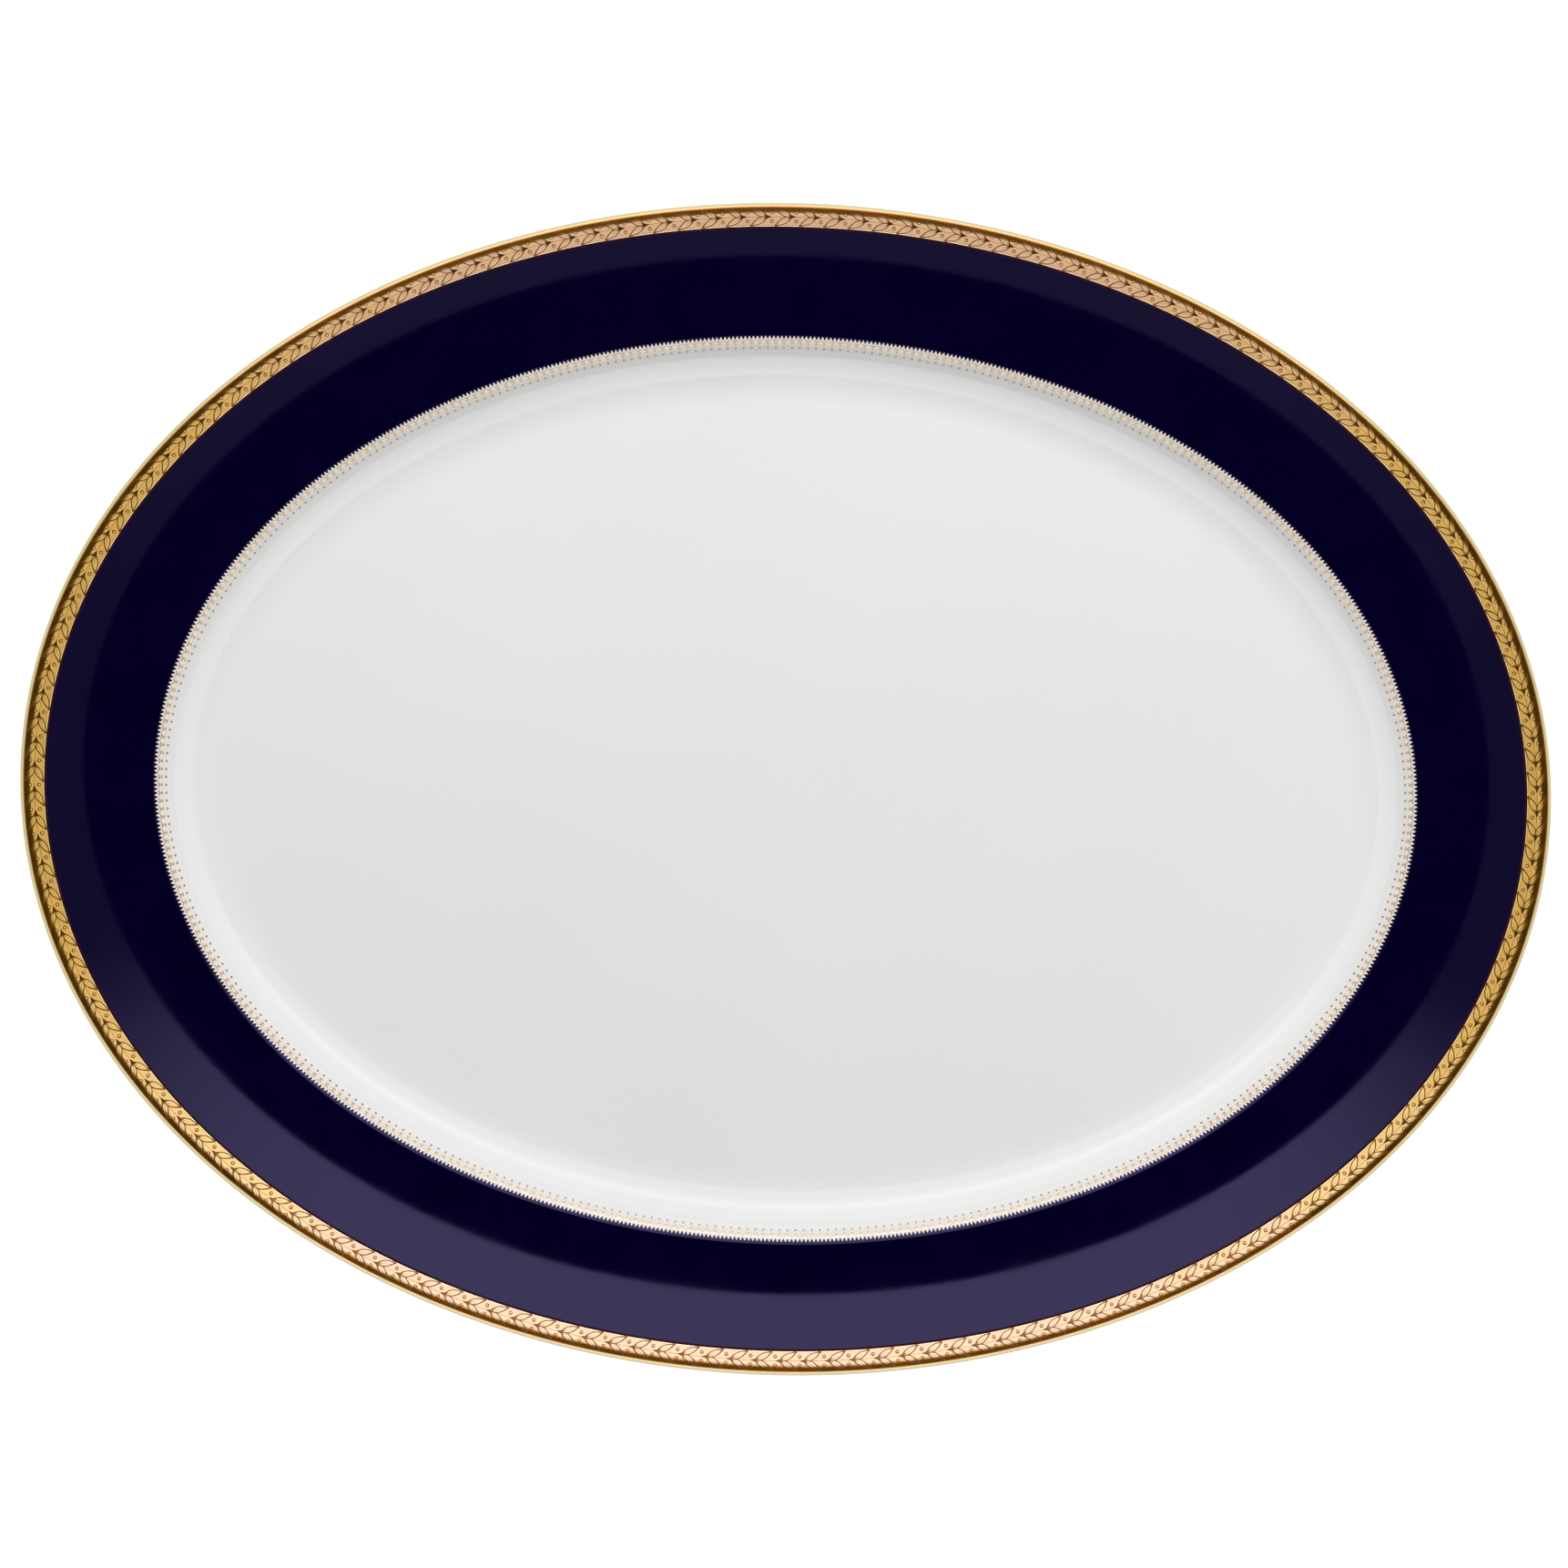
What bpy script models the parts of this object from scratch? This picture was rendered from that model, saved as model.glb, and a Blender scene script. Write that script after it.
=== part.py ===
"""An oval rimmed serving platter of white china with a cobalt band and gold borders.

Metres, +Z up. The origin is the centre of the plane that the foot stands on, +X runs along the
long axis and +Y along the short one.

Every surface is swept round the same family of ellipses. A point of the cross-section is given
as (depth, height): depth is how far it lies in from the lip, so that the ellipse at depth d has
the half axes LENGTH / 2 - d and WIDTH / 2 - d.
"""

import math

import bmesh
import bpy

# ---- Driving dimensions

LENGTH = 0.4064  # 16 inches over the lip
WIDTH = 0.31115  # 12 1/4 inches over the lip
HEIGHT = 0.0286  # 1 1/8 inches from the foot's face to the crown of the lip

LIP_RADIUS = 0.0016  # the lip's outer side is a half round, and its crown is this far in
SHOULDER_RADIUS = 0.0030  # from the crown inwards the lip turns down into the rim
RIM_ANGLE_AT_LIP = math.radians(24.0)
RIM_ANGLE_AT_VERGE = math.radians(8.0)
VERGE_START = 0.0335  # depth where the rim begins to turn down into the wall
VERGE_RADIUS = 0.0065
WALL_ANGLE = math.radians(55.0)  # steepest slope of the wall, just inside the verge
FLOOR_TOP = 0.0090  # height of the well's flat floor
FLOOR_UNDERSIDE = 0.0038  # height of the flat recess inside the foot ring
WALL_THICKNESS = 0.0046
RIM_THICKNESS_AT_LIP = 2 * LIP_RADIUS
RIM_UNDERSIDE_INNER = 0.0290  # depth where the rim's underside begins to turn down
WALL_UNDERSIDE_ANGLE = math.radians(47.0)  # steepest slope of the wall's underside

FOOT_OUTER = 0.0512  # depth of the foot ring's outer face where it leaves the body
FOOT_FACE_OUTER = 0.0527
FOOT_FACE_INNER = 0.0553
FOOT_INNER = 0.0575
FOOT_ROUNDING = 0.0004
DRY_RING_HEIGHT = 0.0009

# ---- Decoration: fired layers, seated in the body so that their faces are flush with its glaze

LAYER = 0.0004
GAP = 0.0003
LIP_GILDING_INNER = 0.0028
LIP_GILDING_UNDER_ANGLE = math.radians(118.0)  # round the lip from its crown, outwards and under
LAUREL_INNER = 0.0063
COBALT_INNER = 0.0356
VERGE_EDGING_INNER = 0.0365
TASSEL_INNER = 0.0390

STATIONS = 72  # facets round the oval
SHARP_ANGLE = math.radians(40.0)

# ---- Values that follow from the dimensions

RIM_START = LIP_RADIUS + SHOULDER_RADIUS * math.sin(RIM_ANGLE_AT_LIP)
RIM_RUN = VERGE_START - RIM_START
LIP_DROP = SHOULDER_RADIUS * (1 - math.cos(RIM_ANGLE_AT_LIP))
RIM_DROP = RIM_RUN * (math.tan(RIM_ANGLE_AT_LIP) + math.tan(RIM_ANGLE_AT_VERGE)) / 2
VERGE_RUN = VERGE_RADIUS * (math.sin(WALL_ANGLE) - math.sin(RIM_ANGLE_AT_VERGE))
VERGE_DROP = VERGE_RADIUS * (math.cos(RIM_ANGLE_AT_VERGE) - math.cos(WALL_ANGLE))
WALL_DROP = HEIGHT - FLOOR_TOP - LIP_DROP - RIM_DROP - VERGE_DROP
WALL_RADIUS = WALL_DROP / (1 - math.cos(WALL_ANGLE))
WALL_START = VERGE_START + VERGE_RUN
FLOOR_EDGE = WALL_START + WALL_RADIUS * math.sin(WALL_ANGLE)
RIM_START_TOP = HEIGHT - LIP_DROP
VERGE_TOP = RIM_START_TOP - RIM_DROP


# ---- Cross-section


def slope_angle(depth):
    """How steeply the top surface falls towards the centre at a depth inside the lip's crown."""
    if depth < RIM_START:
        return math.asin((depth - LIP_RADIUS) / SHOULDER_RADIUS)
    if depth < VERGE_START:
        share = (depth - RIM_START) / RIM_RUN
        outer = math.tan(RIM_ANGLE_AT_LIP)
        inner = math.tan(RIM_ANGLE_AT_VERGE)
        return math.atan(outer + share * (inner - outer))
    if depth < WALL_START:
        return math.asin(math.sin(RIM_ANGLE_AT_VERGE) + (depth - VERGE_START) / VERGE_RADIUS)
    if depth < FLOOR_EDGE:
        return math.asin((FLOOR_EDGE - depth) / WALL_RADIUS)
    return 0.0


def top_height(depth):
    """Height of the top surface at a depth inside the lip's crown."""
    angle = slope_angle(depth)
    if depth < RIM_START:
        return HEIGHT - SHOULDER_RADIUS * (1 - math.cos(angle))
    if depth < VERGE_START:
        mean_slope = (math.tan(RIM_ANGLE_AT_LIP) + math.tan(angle)) / 2
        return RIM_START_TOP - (depth - RIM_START) * mean_slope
    if depth < WALL_START:
        return VERGE_TOP - VERGE_RADIUS * (math.cos(RIM_ANGLE_AT_VERGE) - math.cos(angle))
    return FLOOR_TOP + WALL_RADIUS * (1 - math.cos(angle))


def below_top(depth, distance):
    """The point that lies this far below the top surface, square to it."""
    angle = slope_angle(depth)
    return (
        depth - distance * math.sin(angle),
        top_height(depth) - distance * math.cos(angle),
    )


def round_lip(angle, radius):
    """A point at this angle from the lip's crown, outwards and under, on a circle of this radius."""
    return (
        LIP_RADIUS - radius * math.sin(angle),
        HEIGHT - LIP_RADIUS + radius * math.cos(angle),
    )


def spaced(first, last, count):
    """count + 1 values from first to last."""
    return [first + (last - first) * i / count for i in range(count + 1)]


def eased(start, control, end, count):
    """Points on the curve that leaves start towards control and arrives at end from it."""
    points = []
    for t in spaced(0.0, 1.0, count):
        points.append(
            tuple((1 - t) ** 2 * a + 2 * t * (1 - t) * b + t * t * c for a, b, c in zip(start, control, end))
        )
    return points


def crossing(point_a, slope_a, point_b, slope_b):
    """Where two lines of the cross-section meet, each given by a point and its fall per depth."""
    depth = (point_b[1] - point_a[1] + slope_b * point_b[0] - slope_a * point_a[0]) / (slope_b - slope_a)
    return (depth, point_a[1] - slope_a * (depth - point_a[0]))


def stations_between(outer, inner):
    """Depths that follow the top surface from outer to inner, closer where it turns faster."""
    marks = [outer, inner]
    marks += spaced(LIP_RADIUS, RIM_START, 2)
    marks += spaced(RIM_START, VERGE_START, 4)
    marks += spaced(VERGE_START, WALL_START, 3)
    return sorted({round(m, 6) for m in marks if outer <= m <= inner})


# ---- Pieces


def sweep(name, section, closed_section, material):
    """Sweeps a cross-section round the oval. An open section starts and ends on flat caps."""
    mesh = bpy.data.meshes.new(name)
    shape = bmesh.new()
    rings = []
    for depth, height in section:
        ring = []
        for i in range(STATIONS):
            turn = 2 * math.pi * i / STATIONS
            x = (LENGTH / 2 - depth) * math.cos(turn)
            y = (WIDTH / 2 - depth) * math.sin(turn)
            ring.append(shape.verts.new((x, y, height)))
        rings.append(ring)
    if closed_section:
        pairs = list(zip(rings, rings[1:] + rings[:1]))
    else:
        pairs = list(zip(rings, rings[1:]))
        shape.faces.new(rings[0])
        shape.faces.new(rings[-1])
    for one, other in pairs:
        for i in range(STATIONS):
            j = (i + 1) % STATIONS
            shape.faces.new((one[i], one[j], other[j], other[i]))
    bmesh.ops.recalc_face_normals(shape, faces=shape.faces[:])
    shape.to_mesh(mesh)
    shape.free()
    mesh.shade_smooth()
    mesh.set_sharp_from_angle(angle=SHARP_ANGLE)
    mesh.materials.append(material)
    piece = bpy.data.objects.new(name, mesh)
    bpy.context.scene.collection.objects.link(piece)
    return piece


def surface_layer(outer, inner):
    """The section of a fired layer that lies flush in the top surface between two depths."""
    depths = stations_between(outer, inner)
    upper = [below_top(d, 0.0) for d in depths]
    lower = [below_top(d, LAYER) for d in depths]
    return upper + lower[::-1]


def body_section():
    """The china body, from the middle of the well over the lip to the recess in the foot."""
    seat = LAYER + GAP
    decorated_inner = TASSEL_INNER + GAP
    wall = [below_top(d, 0.0) for d in spaced(FLOOR_EDGE, decorated_inner, 5)]
    seated = [below_top(d, seat) for d in stations_between(LIP_RADIUS, decorated_inner)[::-1]]
    seat_end = LIP_GILDING_UNDER_ANGLE + GAP / LIP_RADIUS
    lip = [round_lip(angle, LIP_RADIUS - seat) for angle in spaced(0.0, seat_end, 4)[1:]]
    lip_underside = [
        round_lip(angle, LIP_RADIUS)
        for angle in spaced(seat_end, math.pi - RIM_ANGLE_AT_LIP, 1)
    ]
    return wall + seated + lip + lip_underside + rim_underside() + foot_section()


def rim_underside():
    """The underside of the rim, and of the wall down to the foot ring."""
    rim = []
    for depth in spaced(RIM_START, RIM_UNDERSIDE_INNER, 3)[1:]:
        share = (depth - RIM_START) / (RIM_UNDERSIDE_INNER - RIM_START)
        thickness = RIM_THICKNESS_AT_LIP + share * (WALL_THICKNESS - RIM_THICKNESS_AT_LIP)
        rim.append(below_top(depth, thickness))
    outside = WALL_RADIUS + WALL_THICKNESS
    foot_angle = math.asin((FLOOR_EDGE - FOOT_OUTER) / outside)
    wall = []
    for angle in spaced(WALL_UNDERSIDE_ANGLE, foot_angle, 3):
        wall.append(
            (FLOOR_EDGE - outside * math.sin(angle), FLOOR_TOP + WALL_RADIUS - outside * math.cos(angle))
        )
    rim_slope = math.tan(slope_angle(RIM_UNDERSIDE_INNER))
    corner = crossing(rim[-1], rim_slope, wall[0], math.tan(WALL_UNDERSIDE_ANGLE))
    return rim + eased(rim[-1], corner, wall[0], 3)[1:-1] + wall


def foot_section():
    """The glazed sides of the foot ring above its dry face, and the edge of the recess."""
    cut = DRY_RING_HEIGHT + GAP
    return [
        (FOOT_FACE_OUTER - 2 * FOOT_ROUNDING, cut),
        (FOOT_FACE_INNER + 2 * FOOT_ROUNDING, cut),
        (FOOT_INNER - 2 * FOOT_ROUNDING, FLOOR_UNDERSIDE - FOOT_ROUNDING),
        (FOOT_INNER, FLOOR_UNDERSIDE),
    ]


def dry_foot_section():
    """The bearing ring: flat below, with its lower corners rounded over."""
    outer = FOOT_FACE_OUTER - 2 * FOOT_ROUNDING
    inner = FOOT_FACE_INNER + 2 * FOOT_ROUNDING
    return [
        (outer, DRY_RING_HEIGHT),
        (outer + FOOT_ROUNDING, FOOT_ROUNDING / 2),
        (FOOT_FACE_OUTER, 0.0),
        (FOOT_FACE_INNER, 0.0),
        (inner - FOOT_ROUNDING, FOOT_ROUNDING / 2),
        (inner, DRY_RING_HEIGHT),
    ]


def lip_section():
    """The gilding that wraps the lip from the laurel border over the edge and under it."""
    angles = spaced(0.0, math.pi / 2, 3) + [LIP_GILDING_UNDER_ANGLE]
    outer = [below_top(LIP_GILDING_INNER, 0.0)]
    outer += [round_lip(angle, LIP_RADIUS) for angle in angles]
    inner = [below_top(LIP_GILDING_INNER, LAYER)]
    inner += [round_lip(angle, LIP_RADIUS - LAYER) for angle in angles]
    return outer + inner[::-1]


def material(name, colour, roughness, metallic=0.0):
    """A Principled material with one colour."""
    made = bpy.data.materials.new(name)
    made.use_nodes = True
    shader = made.node_tree.nodes["Principled BSDF"]
    shader.inputs["Base Color"].default_value = (*colour, 1.0)
    shader.inputs["Roughness"].default_value = roughness
    shader.inputs["Metallic"].default_value = metallic
    return made


def main():
    for old in list(bpy.data.objects):
        bpy.data.objects.remove(old, do_unlink=True)

    white = material("glazed_white_china", (0.83, 0.82, 0.81), 0.08)
    dry = material("dry_china", (0.78, 0.76, 0.71), 0.75)
    cobalt = material("cobalt_glaze", (0.004, 0.001, 0.030), 0.06)
    etched = material("etched_gold", (0.62, 0.42, 0.16), 0.42, 1.0)
    burnished = material("burnished_gold", (0.80, 0.55, 0.20), 0.14, 1.0)
    printed = material("printed_gold", (0.66, 0.50, 0.28), 0.35, 1.0)

    sweep("china_body", body_section(), False, white)
    sweep("dry_foot_ring", dry_foot_section(), True, dry)
    sweep("lip_gilding", lip_section(), True, burnished)
    sweep("laurel_band", surface_layer(LIP_GILDING_INNER + GAP, LAUREL_INNER), True, etched)
    sweep("cobalt_band", surface_layer(LAUREL_INNER + GAP, COBALT_INNER), True, cobalt)
    sweep("verge_edging", surface_layer(COBALT_INNER + GAP, VERGE_EDGING_INNER), True, printed)
    sweep("tassel_border", surface_layer(VERGE_EDGING_INNER + GAP, TASSEL_INNER), True, printed)


main()
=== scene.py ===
"""The looks of an oval china serving platter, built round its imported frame.

The platter is white china with a dark cobalt band on its rim, an etched gold laurel border near
the lip, a burnished gold lip and, at the verge, a scalloped edging with a row of gold tassels.

Metres, +Z up, +X along the platter's long axis. Like the frame, every surface is swept round one
family of ellipses. A point of the cross-section is (depth, height): depth is how far it lies in
from the lip, and the ellipse at depth d has the half axes HALF_LENGTH - d and HALF_WIDTH - d.
"""

import math

import bpy
import numpy as np
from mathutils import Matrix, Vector


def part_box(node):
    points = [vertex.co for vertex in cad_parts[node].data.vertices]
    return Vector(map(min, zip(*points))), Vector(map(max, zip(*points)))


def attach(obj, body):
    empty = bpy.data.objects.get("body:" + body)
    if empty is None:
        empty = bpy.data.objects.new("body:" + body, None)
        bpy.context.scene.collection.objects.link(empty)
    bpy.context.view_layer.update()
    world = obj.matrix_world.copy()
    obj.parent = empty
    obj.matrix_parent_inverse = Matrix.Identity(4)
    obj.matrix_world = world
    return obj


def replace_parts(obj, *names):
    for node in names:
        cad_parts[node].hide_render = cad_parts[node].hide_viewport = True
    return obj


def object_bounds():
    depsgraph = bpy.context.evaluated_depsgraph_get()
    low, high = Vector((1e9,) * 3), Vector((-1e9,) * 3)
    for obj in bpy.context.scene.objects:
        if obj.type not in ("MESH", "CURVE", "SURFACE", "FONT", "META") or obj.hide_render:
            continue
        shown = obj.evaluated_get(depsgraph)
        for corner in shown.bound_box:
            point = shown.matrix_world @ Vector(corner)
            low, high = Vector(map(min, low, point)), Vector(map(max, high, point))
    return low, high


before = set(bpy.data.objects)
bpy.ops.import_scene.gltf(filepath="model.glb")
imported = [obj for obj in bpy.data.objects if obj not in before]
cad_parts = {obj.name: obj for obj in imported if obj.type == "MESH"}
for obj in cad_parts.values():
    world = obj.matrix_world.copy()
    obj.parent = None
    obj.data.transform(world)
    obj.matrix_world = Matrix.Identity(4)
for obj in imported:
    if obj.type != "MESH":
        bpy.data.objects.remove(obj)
cad_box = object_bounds()

# ---- The platter's cross-section. The overall size is the frame's

HALF_LENGTH, HALF_WIDTH, HEIGHT = cad_box[1]
LIP_RADIUS = 0.0016  # the lip's outer side is a half round, and its crown is this far in
SHOULDER_RADIUS = 0.0030  # from the crown inwards the lip turns down into the rim
RIM_ANGLE_AT_LIP = math.radians(24.0)
RIM_ANGLE_AT_VERGE = math.radians(8.0)
VERGE_START = 0.0335  # depth where the rim begins to turn down into the wall
VERGE_RADIUS = 0.0065
WALL_ANGLE = math.radians(55.0)  # the wall's steepest slope, just inside the verge
FLOOR_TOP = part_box("china_body")[0].z + 0.0078  # height of the well's flat floor
FLOOR_UNDERSIDE = 0.0038
WALL_THICKNESS = 0.0046
RIM_UNDERSIDE_INNER = 0.029  # depth where the rim's underside begins to turn down
UNDERSIDE_WALL_ANGLE = math.radians(47.0)
FOOT_OUTER = 0.0512  # depth of the foot ring's outer side where it leaves the body
FOOT_TOP = FLOOR_TOP - WALL_THICKNESS + 0.0001  # and its height there
FOOT_APPROACH = 0.0006  # the wall's underside ends this far outside the foot ring
FOOT_FACE_OUTER = 0.0527
FOOT_FACE_INNER = 0.0553
FOOT_INNER = 0.0575
FOOT_ROUNDING = 0.0004
GLAZE_LINE = 0.0010  # height on the foot where the glaze ends
RECESS_EDGE = FOOT_INNER + 0.006  # depth from which the recess inside the foot is flat
RECESS_TOP = FLOOR_UNDERSIDE + 0.00004
WELL_SAG = 0.00008  # how much lower the well is in its middle
RECESS_RISE = 0.00015  # how much higher the recess is in its middle

RIM_START = LIP_RADIUS + SHOULDER_RADIUS * math.sin(RIM_ANGLE_AT_LIP)
RIM_RUN = VERGE_START - RIM_START
LIP_DROP = SHOULDER_RADIUS * (1 - math.cos(RIM_ANGLE_AT_LIP))
RIM_DROP = RIM_RUN * (math.tan(RIM_ANGLE_AT_LIP) + math.tan(RIM_ANGLE_AT_VERGE)) / 2
VERGE_RUN = VERGE_RADIUS * (math.sin(WALL_ANGLE) - math.sin(RIM_ANGLE_AT_VERGE))
VERGE_DROP = VERGE_RADIUS * (math.cos(RIM_ANGLE_AT_VERGE) - math.cos(WALL_ANGLE))
WALL_DROP = HEIGHT - FLOOR_TOP - LIP_DROP - RIM_DROP - VERGE_DROP
WALL_RADIUS = WALL_DROP / (1 - math.cos(WALL_ANGLE))
WALL_START = VERGE_START + VERGE_RUN
FLOOR_EDGE = WALL_START + WALL_RADIUS * math.sin(WALL_ANGLE)
RIM_START_TOP = HEIGHT - LIP_DROP
VERGE_TOP = RIM_START_TOP - RIM_DROP

# ---- The decoration, by its depth from the lip

LIP_GILDING_INNER = 0.0028
LIP_GILDING_UNDER_ANGLE = math.radians(118.0)
GOLD_INNER = 0.0063  # inner edge of the gold border
MARGIN_WIDTH = 0.0004  # plain burnished line along the border's inner edge
MARGIN_CROWN = 0.00002  # and its extra height along its middle
HAIRLINE_WIDTH = 0.0006  # dark line between the gold and the cobalt
COBALT_INNER = 0.0357

# The laurel: one repeat is a node, two leaves and two berries, and it runs counter-clockwise.
# A place in it is (along the stem, across it towards the centre), from the node
LAUREL_REPEATS = 170
LAUREL_STEM = 0.00385  # depth of the stem
LEAF_REACH = 0.0043  # along the stem, from its node to the leaf's tip
LEAF_SPREAD = 0.00225  # across, from the stem to the leaf's tip
LEAF_HALF_WIDTH = 0.00066
LINE_WIDTH = 0.00036
BERRY_RADIUS = 0.00038
BERRY_PLACE = (-0.0012, 0.00112)  # of one berry; the other is its mirror image
NODE_POINT = (-0.0012, 0.0)
NODE_FLANK = [(-0.0002, 0.00034), (0.0009, 0.00064), (0.00045, 0.00016)]  # one side's outline
NODE_BACK = (0.0009, 0.0)
STROKE = [(0.0012, 0.0), (0.0021, 0.0)]  # short line between the leaves

# How far the laurel's parts stand proud of the ground
LEAF_LIFT = 0.00002
LEAF_SWELL = 0.00004  # a leaf's extra height in its middle
EDGE_LIFT = 0.00005
VEIN_LIFT = 0.00007
TIP_LIFT = 0.00006
BERRY_LIFT = 0.00006
BERRY_RING_LIFT = 0.00003
STEM_LIFT = 0.00002
NODE_LIFT = 0.00008

# The edging: one repeat is two scallops, two slanting lines that meet, and a tassel. A place in
# it is (along the edging, across it towards the centre), from where the lines meet
TASSEL_REPEATS = 420
SCALLOPS_PER_TASSEL = 2
SCALLOP_BITE = 0.00085  # how far a scallop reaches out over the cobalt
SCALLOP_BORDER = 0.00012  # the edging's solid part, inside its scallops
SCALLOP_TOP = 0.00007  # how far it stands proud of the glaze
WASH_START = 0.00005  # from the cobalt's edge
WASH_WIDTH = 0.0026
SLANT = [(0.48, 0.00012), (0.26, 0.00024), (0.02, 0.00050)]  # (share of a repeat, across)
SLANT_HALF_WIDTHS = (0.00010, 0.00015, 0.00018)
TASSEL_STEM = [(0.0, 0.0005), (0.0, 0.0012), (0.0, 0.0021)]
TASSEL_STEM_HALF_WIDTHS = (0.00016, 0.00018, 0.00010)
TASSEL_BARS = [(0.00066, 0.00044, 0.00013), (0.00116, 0.00056, 0.00015)]  # across, reach, half
TASSEL_BAR_DROOP = 0.00006  # how far a bar's ends bend back to the edging
TASSEL_BEAD = (0.0, 0.00215)
TASSEL_BEAD_HALF = (0.00034, 0.00026)
LINE_LIFT = 0.00002  # how far lines and stems stand proud of the wash
BAR_LIFT = 0.00003
BEAD_LIFT = 0.00005

STATIONS = 600  # round the oval
LAYER_TOP = 0.00004  # how far a fired layer stands proud of the white surface
LAYER_SEAT = 0.00003  # how far it reaches into it
ORNAMENT_SEAT = LAYER_TOP - 0.00001  # where small ornament starts, inside the layer that it is on

# The section of a drawn line, as shares of its half width and of its height
BAR_PROFILE = [(-1.0, 0.0), (1.0, 0.0), (1.0, 0.7), (0.0, 1.0), (-1.0, 0.7)]


# ---- Cross-section


def slope_angle(depth):
    """How steeply the top surface falls towards the centre, at depths inside the lip's crown."""
    depth = np.asarray(depth, float)
    share = np.clip((depth - RIM_START) / RIM_RUN, 0, 1)
    outer, inner = math.tan(RIM_ANGLE_AT_LIP), math.tan(RIM_ANGLE_AT_VERGE)
    shoulder = np.arcsin(np.clip((depth - LIP_RADIUS) / SHOULDER_RADIUS, -1, 1))
    rim = np.arctan(outer + share * (inner - outer))
    turned = math.sin(RIM_ANGLE_AT_VERGE) + (depth - VERGE_START) / VERGE_RADIUS
    verge = np.arcsin(np.clip(turned, -1, 1))
    wall = np.arcsin(np.clip((FLOOR_EDGE - depth) / WALL_RADIUS, 0, 1))
    places = [depth < RIM_START, depth < VERGE_START, depth < WALL_START]
    return np.select(places, [shoulder, rim, verge], wall)


def top_height(depth):
    """Height of the top surface at depths inside the lip's crown."""
    depth = np.asarray(depth, float)
    angle = slope_angle(depth)
    shoulder = HEIGHT - SHOULDER_RADIUS * (1 - np.cos(angle))
    mean_slope = (math.tan(RIM_ANGLE_AT_LIP) + np.tan(angle)) / 2
    rim = RIM_START_TOP - (depth - RIM_START) * mean_slope
    verge = VERGE_TOP - VERGE_RADIUS * (math.cos(RIM_ANGLE_AT_VERGE) - np.cos(angle))
    wall = FLOOR_TOP + WALL_RADIUS * (1 - np.cos(angle))
    places = [depth < RIM_START, depth < VERGE_START, depth < WALL_START]
    return np.select(places, [shoulder, rim, verge], wall)


def above_top(depth, lift):
    """The point that stands this far off the top surface, square to it."""
    angle = float(slope_angle(depth))
    return (depth + lift * math.sin(angle), float(top_height(depth)) + lift * math.cos(angle))


def round_lip(angle, radius=LIP_RADIUS):
    """A point at this angle from the lip's crown, outwards and under."""
    return (LIP_RADIUS - radius * math.sin(angle), HEIGHT - LIP_RADIUS + radius * math.cos(angle))


def crossing(point_a, slope_a, point_b, slope_b):
    """Where two lines of the cross-section meet, each given by a point and its fall per depth."""
    rise = point_b[1] - point_a[1]
    depth = (rise + slope_b * point_b[0] - slope_a * point_a[0]) / (slope_b - slope_a)
    return (depth, point_a[1] - slope_a * (depth - point_a[0]))


def eased(start, control, end, count):
    """Points on the curve that leaves start towards control and arrives at end from it."""
    t = np.linspace(0, 1, count + 1)[:, None]
    start, control, end = map(np.array, (start, control, end))
    return [tuple(p) for p in (1 - t) ** 2 * start + 2 * t * (1 - t) * control + t * t * end]


def rounded(corners, radius, count=5):
    """A run of straight lines with each inner corner turned over by an easy curve."""
    path = [corners[0]]
    for before, corner, after in zip(corners, corners[1:], corners[2:]):
        before, corner, after = map(np.array, (before, corner, after))
        into, out = before - corner, after - corner
        reach_in = min(radius, 0.45 * np.linalg.norm(into))
        reach_out = min(radius, 0.45 * np.linalg.norm(out))
        first = corner + into / np.linalg.norm(into) * reach_in
        last = corner + out / np.linalg.norm(out) * reach_out
        path += eased(first, corner, last, count)
    return path + [corners[-1]]


def underside_section():
    """From under the lip, along the rim and down the wall to the foot ring."""
    rim = []
    for depth in np.linspace(RIM_START, RIM_UNDERSIDE_INNER, 15)[1:]:
        share = (depth - RIM_START) / (RIM_UNDERSIDE_INNER - RIM_START)
        thickness = 2 * LIP_RADIUS + share * (WALL_THICKNESS - 2 * LIP_RADIUS)
        rim.append(above_top(depth, -thickness))
    outside = WALL_RADIUS + WALL_THICKNESS
    foot_angle = math.asin((FLOOR_EDGE - FOOT_OUTER + FOOT_APPROACH) / outside)
    wall = []
    for angle in np.linspace(UNDERSIDE_WALL_ANGLE, foot_angle, 12):
        depth = FLOOR_EDGE - outside * math.sin(angle)
        wall.append((depth, FLOOR_TOP + WALL_RADIUS - outside * math.cos(angle)))
    rim_slope = math.tan(float(slope_angle(RIM_UNDERSIDE_INNER)))
    corner = crossing(rim[-1], rim_slope, wall[0], math.tan(UNDERSIDE_WALL_ANGLE))
    return rim + eased(rim[-1], corner, wall[0], 8)[1:-1] + wall


def foot_corners():
    """The foot ring's outer side, face and inner side, down from the body and up to the recess."""
    return [
        (FOOT_OUTER, FOOT_TOP),
        (FOOT_FACE_OUTER - FOOT_ROUNDING, 0.0),
        (FOOT_FACE_INNER + FOOT_ROUNDING, 0.0),
        (FOOT_INNER, FLOOR_UNDERSIDE),
    ]


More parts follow.
